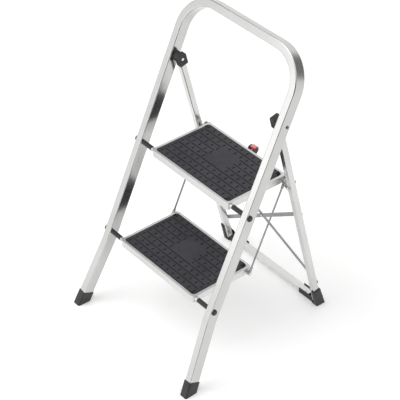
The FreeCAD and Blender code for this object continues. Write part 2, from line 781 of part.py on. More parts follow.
def make_braces():
    """Two flat bars that cross behind the rear legs, and their rivets."""
    across = size(rear_middle)
    low, high = size("brace_low"), size("brace_high")
    rise = math.atan2(high - low, 2 * across)
    length = math.hypot(high - low, 2 * across)
    rearward = rear_frame.Rotation.multVec(Y_AXIS)
    face = size("rear_tube_depth / 2")
    thick = size("brace_thickness")
    hole = "rivet_diameter / 2 + running_gap"
    for name, side, layer in (("brace_right_up", 1, 0), ("brace_left_up", -1, 1)):
        behind = face + layer * thick
        start = on_rear(-side * across, behind, low)
        end = on_rear(side * across, behind, high)
        centre = on_rear(0, behind, (low + high) / 2)
        turn = FreeCAD.Rotation(Y_AXIS, -math.degrees(rise) * side)
        frame = FreeCAD.Placement(centre, rear_frame.Rotation * turn)
        flat = block(f"{name}_flat", frame, (-length / 2, 0, "-brace_width / 2"),
                     (length / 2, "brace_thickness", "brace_width / 2"))
        round_end, layer_depth = "brace_width / 2", "brace_thickness"
        ends = [rod(f"{name}_end", point, rearward, round_end, layer_depth) for point in (start, end)]
        holes = [rod(f"{name}_hole", point, rearward, hole, layer_depth) for point in (start, centre, end)]
        keep(without(name, joined(f"{name}_blank", [flat] + ends), holes), name)

    shank = "rivet_diameter / 2"
    head = "rivet_head_diameter / 2"
    inner_head = "rivet_inside_diameter / 2"
    inside = "-rear_tube_wall - rivet_head_thickness"
    rivets = []
    for side, along, layer in ((-1, low, 0), (1, high, 0), (1, low, 1), (-1, high, 1)):
        frame = facing(rear_frame, Y_AXIS, Vector(side * across, face, along - rear_length))
        steps = [("-rear_tube_wall", inner_head), ("brace_thickness", shank),
                 ("brace_thickness + rivet_head_thickness", head)]
        if layer:
            steps = [("-rear_tube_wall", inner_head), (0, shank), ("brace_thickness", head),
                     ("2 * brace_thickness", shank), ("2 * brace_thickness + rivet_head_thickness", head)]
        rivets.append(turned("brace_rivet", frame, inside, steps))
    frame = facing(rear_frame, Y_AXIS, Vector(0, face, (low + high) / 2 - rear_length))
    rivets.append(turned("brace_rivet", frame, "-rivet_head_thickness",
                         [(0, head), ("2 * brace_thickness", shank),
                          ("2 * brace_thickness + rivet_head_thickness", head)]))
    keep(grouped("brace_rivets", rivets), "brace_rivets")


def make_rear_feet():
    """The level bar between the rear legs, its rivets, and the shoes that hold it."""
    back = size(half_stance)
    bar_back = back - size("shoe_back_wall")
    bar_front = bar_back - size("crossbar_depth")
    sole = size("shoe_sole")
    bar_low = size("crossbar_rise")
    bar_top = bar_low + size("crossbar_height")
    wall = size("crossbar_wall")
    bar_end = size(f"{rear_inner} - crossbar_end_inset")
    corners = [(bar_front, bar_low), (bar_front, bar_top), (bar_back, bar_top), (bar_back, bar_low),
               (bar_back - wall, bar_low), (bar_back - wall, bar_top - wall),
               (bar_front + wall, bar_top - wall), (bar_front + wall, bar_low)]
    channel = slab("crossbar_channel", world, corners, -bar_end, bar_end)
    rivet_back = bar_front + size("crossbar_rivet_back")
    hole = "rivet_diameter / 2 + running_gap"
    place = size(f"{rear_inner} - crossbar_rivet_inset")
    rivets, holes = [], []
    for side in (-1, 1):
        start = Vector(side * place, rivet_back, bar_top - 2 * wall)
        holes.append(rod("crossbar_hole", start, Z_AXIS, hole, reach))
        frame = facing(world, Z_AXIS, Vector(side * place, rivet_back, bar_top))
        steps = [(0, "rivet_diameter / 2"), ("rivet_head_thickness", "crossbar_rivet_head / 2")]
        rivets.append(turned("crossbar_rivet", frame, "-crossbar_rivet_depth", steps))
    keep(without("crossbar", channel, holes), "crossbar")
    keep(grouped("crossbar_rivets", rivets), "crossbar_rivets")

    shoe_front = back - size("shoe_depth")
    inner = f"({rear_inner} - shoe_wall)"
    outer = f"({rear_outer} + shoe_wall)"
    base_end = f"({rear_inner} - shoe_reach)"
    fit = size("shoe_fit")
    back_end = f"({rear_inner} - shoe_back_reach)"
    base = block("shoe_base", world, (base_end, shoe_front, 0), (outer, back, "crossbar_rise"))
    front = block("shoe_front", world, (base_end, shoe_front, 0), (inner, bar_front - fit, "shoe_lip"))
    strip_back = bar_back + fit + size("shoe_strip")
    rear = block("shoe_rear", world, (back_end, bar_back + fit, 0), (bar_end, strip_back, "shoe_back_height"))
    boss_half = size("shoe_boss_half")
    boss_gap = wall + size("side_gap")
    boss = block("shoe_boss", world, (place - boss_half, bar_front + boss_gap, 0),
                 (place + boss_half, bar_back - boss_gap, bar_top - wall))
    around = size("rear_tube_depth / 2 + shoe_wall")
    collar_bar = bar("shoe_collar_bar", rear_frame, inner, outer, -around, around,
                     "rear_tube_corner + shoe_wall / 2", -rear_length - size("rear_tube_depth"),
                     "rear_tube_depth + shoe_collar_height")
    rim = on_rear(0, around, size("shoe_collar_height"))
    middle = on_rear(0, 0, size("shoe_collar_height"))
    profile = [(shoe_front, 0), (back, 0), (rim.y, rim.z), (middle.y, middle.z),
               (shoe_front, size("shoe_back_height"))]
    heel = slab("shoe_heel_block", world, profile, inner, outer)
    room = block("room_above_shoe", world, (0, f"-{reach}", 0), (reach, reach, reach))
    collar = shared("shoe_collar", collar_bar, room)
    gap = "running_gap"
    half = "rear_tube_depth / 2"
    lowest = sole / math.cos(rear_angle) + size(half) * math.tan(rear_angle)
    socket = bar("shoe_socket", rear_frame, f"{rear_inner} - {gap}", f"{rear_outer} + {gap}",
                 f"-{half} - {gap}", f"{half} + {gap}", f"rear_tube_corner + {gap}", lowest - rear_length,
                 "2 * shoe_collar_height")
    beyond = around + size("shoe_wall")
    window = block("shoe_window", rear_frame,
                   (f"{inner} - shoe_wall", -beyond, f"shoe_window_height - {rear_length}"),
                   (f"{rear_inner} + shoe_opening", beyond, f"2 * shoe_collar_height - {rear_length}"))
    drain_front = strip_back - size("shoe_drain_width")
    drain = block("shoe_drain", world, (bar_end + size("side_gap"), drain_front, -sole),
                  (f"{inner} - shoe_drain_margin", strip_back, sole))
    rivet_low = Vector(place, rivet_back, bar_top - size("crossbar_rivet_depth") - fit)
    rivet_hole = rod("shoe_rivet_hole", rivet_low, Z_AXIS, hole, "crossbar_height")
    blank = joined("rear_shoe_blank", [base, front, rear, heel, boss, collar])
    keep_pair(without("rear_shoe", blank, [socket, window, rivet_hole, drain]), "rear_shoe")


def make_tread(name, frame, extra_holes):
    """One pressed tray on its axle, its rubber mat and the pins for the link rods."""
    top = "tray_rise"
    rim = "tray_rise - tray_rim_height"
    bottom = "tray_rise - tray_height"
    body = new_body(f"{name}_pressing", frame)
    sketch = new_sketch(body, "XY_Plane", bottom)
    rounded_outline(sketch, f"-({tray_side})", tray_side, "tray_lip - tray_front", tray_back,
                    "tray_corner - tray_lip")
    pad(body, sketch, "tray_height - tray_rim_height")
    sketch = new_sketch(body, "XY_Plane", rim)
    rounded_outline(sketch, "-tray_half_width", "tray_half_width", "-tray_front", tray_rear, "tray_corner")
    pad(body, sketch, "tray_rim_height")
    height = size(top)
    round_edges(body, "tray_rim_round", lambda edge: abs(edge.BoundBox.ZMin - height) < 1e-6)
    sketch = new_sketch(body, "XY_Plane", bottom)
    rounded_outline(sketch, f"tray_wall - ({tray_side})", f"{tray_side} - tray_wall",
                    "tray_lip + tray_wall - tray_front", f"{tray_back} - tray_wall",
                    "tray_corner - tray_lip - tray_wall")
    pocket(body, sketch, "tray_height - mat_recess - tray_wall")
    gap = "side_gap"
    sketch = new_sketch(body, "XY_Plane", "tray_rise - mat_recess")
    rounded_outline(sketch, f"-{mat_side} - {gap}", f"{mat_side} + {gap}", f"-{mat_front} - {gap}",
                    f"{mat_rear} + {gap}", f"mat_corner + {gap}")
    pocket(body, sketch, "mat_recess + tray_wall")
    span = size("2 * tray_half_width")
    holes = []
    for across, up, radius in (
        (0, 0, "axle_diameter / 2 + running_gap"),
        (size(link_pin_back), -size("link_pin_drop"), "link_pin_diameter / 2 + running_gap"),
        (size(skirt_hole_back), 0, "skirt_hole_diameter / 2"),
    ):
        start = frame.multVec(Vector(-span, across, up))
        holes.append(rod(f"{name}_hole", start, X_AXIS, radius, 2 * span))
    keep(without(f"{name}_tray", body, holes + extra_holes), f"{name}_tray")

    mat = new_body(f"{name}_mat", frame)
    sketch = new_sketch(mat, "XY_Plane", "tray_rise - mat_recess")
    rounded_outline(sketch, f"-{mat_side}", mat_side, f"-{mat_front}", mat_rear, "mat_corner")
    pad(mat, sketch, "mat_thickness")
    mat_top = size("tray_rise - mat_recess + mat_thickness")
    round_edges(mat, "mat_round", lambda edge: abs(edge.BoundBox.ZMin - mat_top) < 1e-6)
    keep(mat, f"{name}_mat")

    shaft = "link_pin_diameter / 2"
    head = "link_pin_head_diameter / 2"
    middle = Vector(0, size(link_pin_back), -size("link_pin_drop"))
    place = frame * FreeCAD.Placement(middle, FreeCAD.Rotation())
    skirt_inside = f"({tray_side} - tray_wall)"
    pin = turned(f"{name}_link_pin", place, f"{skirt_inside} - link_pin_head_thickness",
                 [(skirt_inside, "link_pin_end_diameter / 2"), (tray_side, shaft),
                  (f"{link_pin_head} - link_eye_thickness - 2 * link_side_play", head),
                  (link_pin_head, shaft),
                  (f"{link_pin_head} + link_pin_head_thickness", head)])
    keep_pair(pin, f"{name}_link_pin")


def make_links():
    """The rods that hold the treads parallel, with a flattened eye at each end."""
    pin = Vector(size(link_offset), size(link_pin_back), -size("link_pin_drop"))
    top, bottom = upper_axle + pin, lower_axle + pin
    along = bottom - top
    length = along.Length
    frame = FreeCAD.Placement(top, FreeCAD.Rotation(X_AXIS, -size("lean_angle")))
    eye = "link_eye_thickness / 2"
    width = "link_neck_width / 2"
    neck = "link_neck_length"
    pieces = []
    for number, height in enumerate((0, -length)):
        start = frame.multVec(Vector(-size(eye), 0, height))
        pieces.append(rod("link_eye", start, X_AXIS, "link_eye_diameter / 2", "link_eye_thickness"))
        low, high = (f"-{neck}", 0) if number == 0 else (-length, f"{neck} - {length}")
        pieces.append(block("link_neck", frame, (f"-{eye}", f"-{width}", low), (eye, width, high)))
    overlap = size("link_neck_overlap")
    start = frame.multVec(Vector(0, 0, overlap - size(neck)))
    pieces.append(rod("link_wire", start, along, "link_diameter / 2", f"{length + 2 * overlap} - 2 * {neck}"))
    holes = []
    for point, play in ((top, "running_gap"), (bottom, "link_play")):
        start = point - X_AXIS * size("link_eye_thickness")
        radius = f"link_pin_diameter / 2 + {play}"
        holes.append(rod("link_bore", start, X_AXIS, radius, "2 * link_eye_thickness"))
    keep_pair(without("link_rod", joined("link_rod_blank", pieces), holes), "link_rod")


def stud_place():
    """Gives the middle of a stud, seen from the upper axle."""
    return on_rear(0, 0, stud_along) - upper_axle


def latch_place():
    """Gives the middle of the latch shaft, seen from the upper axle."""
    return Vector(0, size(latch_back), -size("latch_drop"))


def hook_rivet_places():
    """Gives the rivet places of the right-hand hook, at the back face of the tray."""
    return [Vector(size(f"{hook_outer} - hook_rivet_inset - {number} * hook_rivet_pitch"), size(tray_back),
                   -size("hook_rivet_drop")) for number in range(2)]


def make_hooks():
    """The brackets behind the upper tray that rest on the studs and carry the latch shaft."""
    stud = stud_place()
    shaft = latch_place()
    clear = size("stud_diameter / 2 + side_gap")
    seat = stud.z + clear
    prong = stud.y + clear
    prong_back = prong + size("hook_prong_width")
    prong_low = stud.z - size("hook_prong_drop")
    back = size(tray_back)
    plate = size("hook_thickness")
    around = size("latch_shaft_diameter")
    flange_top = size("tray_rise - tray_rim_height - hook_flange_drop")
    seat_front = stud.y - size("hook_seat_length")
    corners = [
        (seat_front, seat), (prong, seat), (prong, prong_low), (prong_back, prong_low),
        (shaft.y - around / 2, shaft.z - around), (shaft.y + around, shaft.z - around),
        (shaft.y + around, shaft.z), (back + plate, flange_top), (back - plate, flange_top),
        (seat_front, seat + 2 * plate),
    ]
    side = slab("hook_side", upper_frame, corners, hook_inner, hook_outer)
    flange = block("hook_flange", upper_frame,
                   (f"{hook_outer} - hook_flange_length", back, f"{flange_top} - hook_flange_height"),
                   (hook_outer, back + plate, flange_top))
    shaft_bore = "latch_shaft_diameter / 2 + running_gap"
    rivet_bore = "rivet_diameter / 2 + running_gap"
    holes = [rod("hook_shaft_bore", upper_frame.multVec(shaft), X_AXIS, shaft_bore, reach)]
    rivets = []
    inner_head = "rivet_inside_diameter / 2"
    for point in hook_rivet_places():
        place = upper_frame.multVec(point)
        holes.append(rod("hook_rivet_bore", place - Y_AXIS * plate, Y_AXIS, rivet_bore, 3 * plate))
        frame = facing(upper_frame, Y_AXIS, point)
        rivets.append(turned("hook_rivet", frame, "-tray_wall - rivet_head_thickness",
                             [("-tray_wall", inner_head), ("hook_thickness", "rivet_diameter / 2"),
                              ("hook_thickness + rivet_head_thickness", inner_head)]))
    keep_pair(without("support_hook", joined("support_hook_blank", [side, flange]), holes), "support_hook")
    keep_pair(grouped("hook_rivets", rivets), "hook_rivets")


def make_latch():
    """The shaft that carries the two catches and the lever."""
    shaft = latch_place()
    radius = "latch_shaft_diameter / 2"
    bore = f"{radius} + running_gap"
    centre = upper_frame.multVec(shaft)
    end = size(f"{catch_outer} + latch_shaft_end")
    keep(rod("latch_shaft", centre - X_AXIS * end, X_AXIS, radius, 2 * end), "latch_shaft")

    stud = stud_place()
    nose = stud.y + size("catch_nose_gap")
    nose_top = stud.z - size("catch_nose_drop")
    nose_low = nose_top - size("catch_nose_height")
    hub = size("catch_hub_diameter / 2")
    arm = [(nose, nose_top), (nose, nose_low), (nose + hub, nose_low), (shaft.y + hub / 2, shaft.z - hub / 2),
           (shaft.y - hub / 2, shaft.z + hub / 2), (nose + hub, nose_top + hub / 4)]
    catch = slab("latch_catch_arm", upper_frame, arm, catch_inner, catch_outer)
    boss = rod("latch_catch_hub", centre + X_AXIS * size(catch_inner), X_AXIS, hub, "catch_thickness")
    hole = rod("latch_catch_bore", centre, X_AXIS, bore, reach)
    keep_pair(without("latch_catch", joined("latch_catch_blank", [catch, boss]), [hole]), "latch_catch")

    half = size("lever_half_width")
    thick = size("lever_thickness / 2")
    tip = size("lever_tip_thickness / 2")
    tip_back = shaft.y + size("lever_lean")
    tip_top = shaft.z + size("lever_length")
    corners = [(shaft.y - thick, shaft.z), (shaft.y + thick, shaft.z), (tip_back + tip, tip_top),
               (tip_back - tip, tip_top)]
    lever_arm = slab("latch_lever_arm", upper_frame, corners, -half, half)
    round_edges(lever_arm, "lever_tip_thickness / 3",
                lambda edge: runs_along(edge, X_AXIS) and edge.BoundBox.ZMin > tip_top - tip)
    lever_hub = rod("latch_lever_hub", centre - X_AXIS * half, X_AXIS, f"{radius} + lever_hub_wall", 2 * half)
    lever_hole = rod("latch_lever_bore", centre - X_AXIS * 2 * half, X_AXIS, bore, 4 * half)
    lever_blank = joined("latch_lever_blank", [lever_arm, lever_hub])
    keep(without("latch_lever", lever_blank, [lever_hole]), "latch_lever")


def make_button():
    """The housing behind the upper tray and the button that pushes the lever forward in it."""
    shaft = latch_place()
    back = size(tray_back)
    wall = size("housing_wall")
    gap = size("side_gap")
    button_front = size(f"{tray_back} + button_behind_tray")
    button_back = button_front + size("button_length")
    top, bottom = size("button_rise"), -size("button_drop")
    half = size("button_half_width")
    cheek = half + gap

    low, high = -size("housing_drop"), size("housing_rise")
    end = back + size("housing_length")
    knee = shaft.y + size("housing_knee")
    floor = bottom - gap - wall
    shelf = knee + floor - low
    nose = size("housing_nose")
    saddle = button_front - size("housing_saddle_width")
    above = high + nose
    shell_corners = [(back, low), (knee, low), (shelf, floor), (end, floor), (end, high - nose),
                     (end - nose, high), (button_front, high), (saddle, -size("housing_saddle_drop")),
                     (back, size("housing_front_rise"))]
    room_corners = [(back + wall, low + wall), (knee, low + wall), (shelf, floor + wall),
                    (end + wall, floor + wall), (end + wall, above), (back + wall, above)]
    shell = slab("latch_housing_shell", upper_frame, shell_corners, -cheek - wall, cheek + wall)
    room = slab("latch_housing_room", upper_frame, room_corners, -cheek, cheek)
    span = size(reach)
    shaft_hole = rod("latch_housing_bore", upper_frame.multVec(shaft) - X_AXIS * span, X_AXIS,
                     "latch_shaft_diameter / 2 + running_gap", 2 * span)
    keep(without("latch_housing", shell, [room, shaft_hole]), "latch_housing")

    button = new_body("button_block", upper_frame)
    sketch = new_sketch(button, "XY_Plane", bottom)
    outline(sketch, [(-half, button_front), (half, button_front), (half, button_back), (-half, button_back)])
    pad(button, sketch, f"{top} - ({bottom})")
    round_edges(button, "button_round", lambda edge: edge.BoundBox.ZMin > top - 1e-6)
    lever_half = size("lever_half_width + side_gap")
    tip = size("lever_tip_thickness / 2")
    tip_back = shaft.y + size("lever_lean")
    tip_top = shaft.z + size("lever_length")
    slot_front = tip_back - tip - size("lever_tip_play")
    slot_back = tip_back + tip + gap
    slot_top = tip_top + size("lever_tip_rise")
    slot_corners = [(button_front - wall, bottom - wall), (slot_back, bottom - wall), (slot_back, slot_top),
                    (slot_front, slot_top), (slot_front, tip_top),
                    (button_front - wall, tip_top - wall - gap)]
    slot = slab("button_slot", upper_frame, slot_corners, -lever_half, lever_half)
    keep(without("release_button", button, [slot]), "release_button")


def make_spring():
    """The coil that turns the latch shaft back, wound round the shaft beside the lever."""
    wire = size("spring_wire")
    coil = size("latch_shaft_diameter / 2 + running_gap + spring_clearance") + wire / 2
    start = latch_place() + X_AXIS * (size("lever_half_width + side_gap") + wire)
    place = FreeCAD.Placement(upper_frame.multVec(start), FreeCAD.Rotation(Z_AXIS, X_AXIS))
    helix = doc.addObject("Part::Helix", "spring_line")
    drive(helix, "Pitch", "spring_pitch")
    drive(helix, "Height", "spring_pitch * spring_turns")
    drive(helix, "Radius", coil)
    ring = doc.addObject("Part::Circle", "spring_section")
    drive(ring, "Radius", "spring_wire / 2")
    ring.Placement = FreeCAD.Placement(Vector(coil, 0, 0), FreeCAD.Rotation(X_AXIS, 90))
    doc.recompute()
    sweep = doc.addObject("Part::Sweep", "latch_spring")
    sweep.Sections = [ring]
    sweep.Spine = (helix, [f"Edge{number}" for number in range(1, len(helix.Shape.Edges) + 1)])
    sweep.Solid = True
    sweep.Frenet = True
    doc.recompute()
    sweep.Placement = place
    keep(sweep, "latch_spring")


def hook_holes_in_tray():
    """The holes in the back of the upper tray that the hooks' rivets pass through."""
    holes = []
    wall = size("tray_wall")
    for point in hook_rivet_places():
        for side in (-1, 1):
            start = upper_frame.multVec(Vector(side * point.x, point.y - 2 * wall, point.z))
            holes.append(rod("tray_rivet_bore", start, Y_AXIS, "rivet_diameter / 2 + running_gap", 4 * wall))
    return holes


make_bow()
make_front_feet()
make_axles()
make_hinge()
make_rear_legs()
make_studs()
make_braces()
make_rear_feet()
make_tread("upper", upper_frame, hook_holes_in_tray())
make_tread("lower", lower_frame, [])
make_links()
make_hooks()
make_latch()
make_button()
make_spring()

doc.recompute()
for item in doc.Objects:
    if "Invalid" in item.State or "Error" in item.State:
        raise RuntimeError(f"{item.Label} is {item.State}")
for item in parts:
    if item.Shape.isNull() or not item.Shape.isValid():
        raise RuntimeError(f"{item.Label} has no valid shape")
os.makedirs("parts", exist_ok=True)
for item in parts:
    item.Shape.exportStep(f"parts/{item.Label}.step")
print(len(parts), "sub-parts")
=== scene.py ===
"""The looks of a folding two-step stool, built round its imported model, in metres.

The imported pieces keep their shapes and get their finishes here. Only the two tread mats are built anew, as
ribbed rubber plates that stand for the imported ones.
"""

import json
import math

import bmesh
import bpy
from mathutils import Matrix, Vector


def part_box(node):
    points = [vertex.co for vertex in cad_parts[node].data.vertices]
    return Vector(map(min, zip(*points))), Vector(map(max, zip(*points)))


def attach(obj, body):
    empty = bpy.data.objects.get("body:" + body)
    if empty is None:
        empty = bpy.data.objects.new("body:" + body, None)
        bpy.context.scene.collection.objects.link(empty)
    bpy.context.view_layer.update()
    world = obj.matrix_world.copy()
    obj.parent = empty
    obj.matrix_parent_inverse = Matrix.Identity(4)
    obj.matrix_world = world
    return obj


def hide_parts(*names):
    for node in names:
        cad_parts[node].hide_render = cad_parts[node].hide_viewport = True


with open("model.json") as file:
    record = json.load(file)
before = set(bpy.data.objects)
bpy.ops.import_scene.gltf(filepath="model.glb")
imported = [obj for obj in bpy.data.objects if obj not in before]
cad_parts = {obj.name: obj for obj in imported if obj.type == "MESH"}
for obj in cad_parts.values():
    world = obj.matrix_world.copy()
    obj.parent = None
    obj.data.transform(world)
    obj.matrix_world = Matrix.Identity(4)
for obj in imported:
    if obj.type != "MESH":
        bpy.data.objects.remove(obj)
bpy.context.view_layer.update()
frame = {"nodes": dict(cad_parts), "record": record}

MM = 0.001

# How far the front and the rear tubes lean from upright
FRONT_LEAN = math.radians(24.55)
REAR_LEAN = math.radians(-14.58)

# The finishes of nodes that don't take the one of their slot, by a word in the node's name
OWN_FINISHES = {
    "sleeve": "sleeve_plastic",
    "axle_cap": "sleeve_plastic",
    "hinge_pin": "hinge_pin_steel",
    "crossbar": "crossbar_aluminium",
}

# The hinge pins are bright up to the first distance from the middle and blackened from the second on
PIN_BRIGHT_TO = 203 * MM
PIN_DARK_FROM = 204 * MM

# The painted shade along the mats' rim is darkest up to the first distance from their edge, and the mats have
# their full colour from the second on
MAT_RIM_SHADE_DARKEST = 1.2 * MM
MAT_RIM_SHADE_ENDS = 3.6 * MM

# The round corners of the mats, the number of straight pieces in each, and the rounding of all edges
MAT_CORNER = 7 * MM
MAT_ARC_STEPS = 8
MAT_EDGE_ROUNDING = 0.45 * MM

# The camera, fitted to the reference view
CAMERA_PLACE = Vector((2.18491, -1.82190, 2.52424))
CAMERA_AIM = Vector((-0.6114, 0.5056, -0.6087))
CAMERA_LENS = 133.911
CAMERA_SENSOR = 36.0

# The light from all round, and the soft box and the dark cards that change it, each with its direction, the
# angles in degrees where its edge starts and ends, and what it adds
STUDIO_LEVEL = 0.98
STUDIO_LOBES = (
    ((-0.41, -0.91, 0.04), 10, 18, 1.0),
    ((0.82, -0.57, -0.05), 32, 60, -0.96),
    ((-0.61, -0.03, 0.79), 14, 29, -0.95),
    ((0.32, 0.92, 0.25), 10, 32, -0.74),
    ((-0.97, -0.22, -0.1), 10, 30, -0.25),
)
LAMP_PLACE = Vector((-1.0, -1.3, 3.4))
LAMP_AIM = Vector((0, 0, 0.4))
LAMP_SIZE = 2.6
LAMP_POWER = 42

FLOOR_RADIUS = 9.0
FLOOR_GLOW = 0.26

# Where a mix node for colours has its two colours and its result
MIX_COLOURS = (6, 7)
MIX_RESULT = 2


def arithmetic(tree, operation, first, second=0.0):
    """One step of arithmetic on two values, each a number or a socket."""
    node = tree.nodes.new("ShaderNodeMath")
    node.operation = operation
    for socket, value in zip(node.inputs, (first, second)):
        if isinstance(value, float):
            socket.default_value = value
        else:
            tree.links.new(value, socket)
    return node.outputs["Value"]


class Surface:
    """A node material with one shader, and short ways to give it grain."""

    def __init__(self, name, colour, roughness, metallic=0.0, specular=0.5):
        self.material = bpy.data.materials.new(name)
        self.material.use_nodes = True
        self.tree = self.material.node_tree
        self.shader = self.tree.nodes["Principled BSDF"]
        self.shader.inputs["Base Color"].default_value = (*colour, 1)
        self.shader.inputs["Roughness"].default_value = roughness
        self.shader.inputs["Metallic"].default_value = metallic
        self.shader.inputs["Specular IOR Level"].default_value = specular
        coordinates = self.tree.nodes.new("ShaderNodeTexCoord")
        self.coordinates = coordinates.outputs["Object"]
        self.generated = coordinates.outputs["Generated"]
        self.relief = None

    def split(self, place):
        """The X, Y and Z of a place."""
        node = self.tree.nodes.new("ShaderNodeSeparateXYZ")
        self.tree.links.new(place, node.inputs["Vector"])
        return node.outputs

    def stretched(self, stretch, turn):
        """The coordinates, turned about X and then scaled along their own axes."""
        turned = self.tree.nodes.new("ShaderNodeMapping")
        turned.inputs["Rotation"].default_value = (turn, 0, 0)
        self.tree.links.new(self.coordinates, turned.inputs["Vector"])
        scaled = self.tree.nodes.new("ShaderNodeMapping")
        scaled.inputs["Scale"].default_value = stretch
        self.tree.links.new(turned.outputs["Vector"], scaled.inputs["Vector"])
        return scaled.outputs["Vector"]

    def noise(self, scale, detail=3.0, stretch=None, turn=0.0, seed=0.0):
        """A cloud from 0 to 1, with its scale in repeats per metre."""
        node = self.tree.nodes.new("ShaderNodeTexNoise")
        node.noise_dimensions = "4D"
        node.inputs["W"].default_value = seed
        node.inputs["Scale"].default_value = scale
        node.inputs["Detail"].default_value = detail
        source = self.stretched(stretch, turn) if stretch else self.coordinates
        self.tree.links.new(source, node.inputs["Vector"])
        return node.outputs["Fac"]

    def pores(self, scale):
        """Distances to scattered points, for pits and grains, with their scale in repeats per metre."""
        node = self.tree.nodes.new("ShaderNodeTexVoronoi")
        node.inputs["Scale"].default_value = scale
        self.tree.links.new(self.coordinates, node.inputs["Vector"])
        return node.outputs["Distance"]

    def spread(self, value, low, high, low_to, high_to):
        """Maps one range of a value to another."""
        node = self.tree.nodes.new("ShaderNodeMapRange")
        node.inputs["From Min"].default_value = low
        node.inputs["From Max"].default_value = high
        node.inputs["To Min"].default_value = low_to
        node.inputs["To Max"].default_value = high_to
        self.tree.links.new(value, node.inputs["Value"])
        return node.outputs["Result"]

    def arithmetic(self, operation, first, second=0.0):
        return arithmetic(self.tree, operation, first, second)

    def blend(self, share, first, second):
        """A colour between two others, each given as a colour or a socket."""
        node = self.tree.nodes.new("ShaderNodeMix")
        node.data_type = "RGBA"
        for place, colour in zip(MIX_COLOURS, (first, second)):
            if isinstance(colour, tuple):
                node.inputs[place].default_value = (*colour, 1)
            else:
                self.tree.links.new(colour, node.inputs[place])
        self.tree.links.new(share, node.inputs["Factor"])
        return node.outputs[MIX_RESULT]

    def mottle(self, cloud, low, high, first, second):
        """A colour that goes from the first to the second as a cloud goes from low to high."""
        return self.blend(self.spread(cloud, low, high, 0.0, 1.0), first, second)

    def colour(self, output):
        self.tree.links.new(output, self.shader.inputs["Base Color"])

    def roughness(self, output):
        self.tree.links.new(output, self.shader.inputs["Roughness"])

    def bump(self, height, strength, distance):
        """Lays a relief over what is there."""
        node = self.tree.nodes.new("ShaderNodeBump")
        node.inputs["Strength"].default_value = strength
        node.inputs["Distance"].default_value = distance
        self.tree.links.new(height, node.inputs["Height"])
        if self.relief:
            self.tree.links.new(self.relief, node.inputs["Normal"])
        self.relief = node.outputs["Normal"]
        self.tree.links.new(self.relief, self.shader.inputs["Normal"])


def drawn_metal(name, light, dark, roughness, grain, turn=0.0, streak=0.06):
    """Bare metal with fine drawing lines, soft clouds and a few finger marks."""
    surface = Surface(name, light, roughness, metallic=1.0)
    lines = surface.noise(1.0, detail=4.0, stretch=grain, turn=turn, seed=1.0)
    clouds = surface.noise(9.0, seed=2.0)
    marks = surface.noise(38.0, detail=5.0, seed=3.0)
    surface.colour(surface.mottle(clouds, 0.3, 0.75, light, dark))
    streaks = surface.spread(lines, 0.25, 0.75, roughness - streak, roughness + streak)
    smears = surface.spread(marks, 0.55, 0.8, 0.0, 0.07)
    surface.roughness(surface.arithmetic("ADD", streaks, smears))
    surface.bump(lines, 0.12, 0.05 * MM)
    surface.bump(marks, 0.05, 0.1 * MM)
    return surface.material


def rail_aluminium():
    """The bow: a drawn tube, polished satin."""
    return drawn_metal("rail_aluminium", (0.61, 0.61, 0.602), (0.55, 0.55, 0.54), roughness=0.19,
                       grain=(1500, 1500, 22), turn=FRONT_LEAN)


def tray_aluminium():
    """The pressed trays, a little softer in their shine."""
    return drawn_metal("tray_aluminium", (0.71, 0.71, 0.702), (0.66, 0.66, 0.65), roughness=0.36,
                       grain=(26, 1400, 1400))


def leg_aluminium():
    """The rear legs, mill finish."""
    return drawn_metal("leg_aluminium", (0.70, 0.70, 0.69), (0.61, 0.61, 0.60), roughness=0.24,
                       grain=(1300, 1300, 24), turn=REAR_LEAN, streak=0.07)


def crossbar_aluminium():
    """The bar between the rear shoes with its rivets, brushed along its length; its lighter colour than the
    legs is painted light, making up for the shade under the stool.
    """
    return drawn_metal("crossbar_aluminium", (0.80, 0.80, 0.79), (0.72, 0.72, 0.71), roughness=0.3,
                       grain=(24, 1300, 1300), streak=0.07)


def plated_steel(name, light, dark, roughness):
    """Zinc plated steel with a fine spangle."""
    surface = Surface(name, light, roughness, metallic=1.0)
    spangle = surface.pores(420.0)
    clouds = surface.noise(60.0, detail=4.0, seed=4.0)
    fine = surface.noise(1800.0, detail=2.0, seed=5.0)
    surface.colour(surface.mottle(clouds, 0.35, 0.7, light, dark))
    surface.roughness(surface.spread(spangle, 0.0, 0.8, roughness - 0.06, roughness + 0.12))
    surface.bump(spangle, 0.06, 0.1 * MM)
    surface.bump(fine, 0.08, 0.03 * MM)
    return surface.material


def brace_steel():
    return plated_steel("brace_steel", (0.36, 0.36, 0.36), (0.28, 0.28, 0.28), roughness=0.36)


def wire_steel():
    return plated_steel("wire_steel", (0.40, 0.40, 0.40), (0.31, 0.31, 0.31), roughness=0.3)


def bracket_steel():
    return plated_steel("bracket_steel", (0.74, 0.74, 0.73), (0.64, 0.64, 0.63), roughness=0.3)


def fastener_steel():
    return plated_steel("fastener_steel", (0.70, 0.70, 0.69), (0.60, 0.60, 0.59), roughness=0.2)


def dark_screw():
    return plated_steel("dark_screw", (0.10, 0.10, 0.10), (0.06, 0.06, 0.06), roughness=0.4)


def hinge_pin_steel():
    """Bright inside, with a blackened head outside the legs."""
    surface = Surface("hinge_pin_steel", (0.75, 0.75, 0.74), 0.2, metallic=1.0)
    outward = surface.arithmetic("ABSOLUTE", surface.split(surface.coordinates)["X"])
    head = surface.spread(outward, PIN_BRIGHT_TO, PIN_DARK_FROM, 0.0, 1.0)
    clouds = surface.noise(90.0, seed=12.0)
    bright = surface.mottle(clouds, 0.3, 0.7, (0.78, 0.78, 0.77), (0.68, 0.68, 0.67))
    surface.colour(surface.blend(head, bright, (0.16, 0.16, 0.162)))
    surface.roughness(surface.spread(clouds, 0.3, 0.7, 0.16, 0.28))
    surface.bump(surface.noise(1500.0, detail=2.0, seed=13.0), 0.08, 0.03 * MM)
    return surface.material


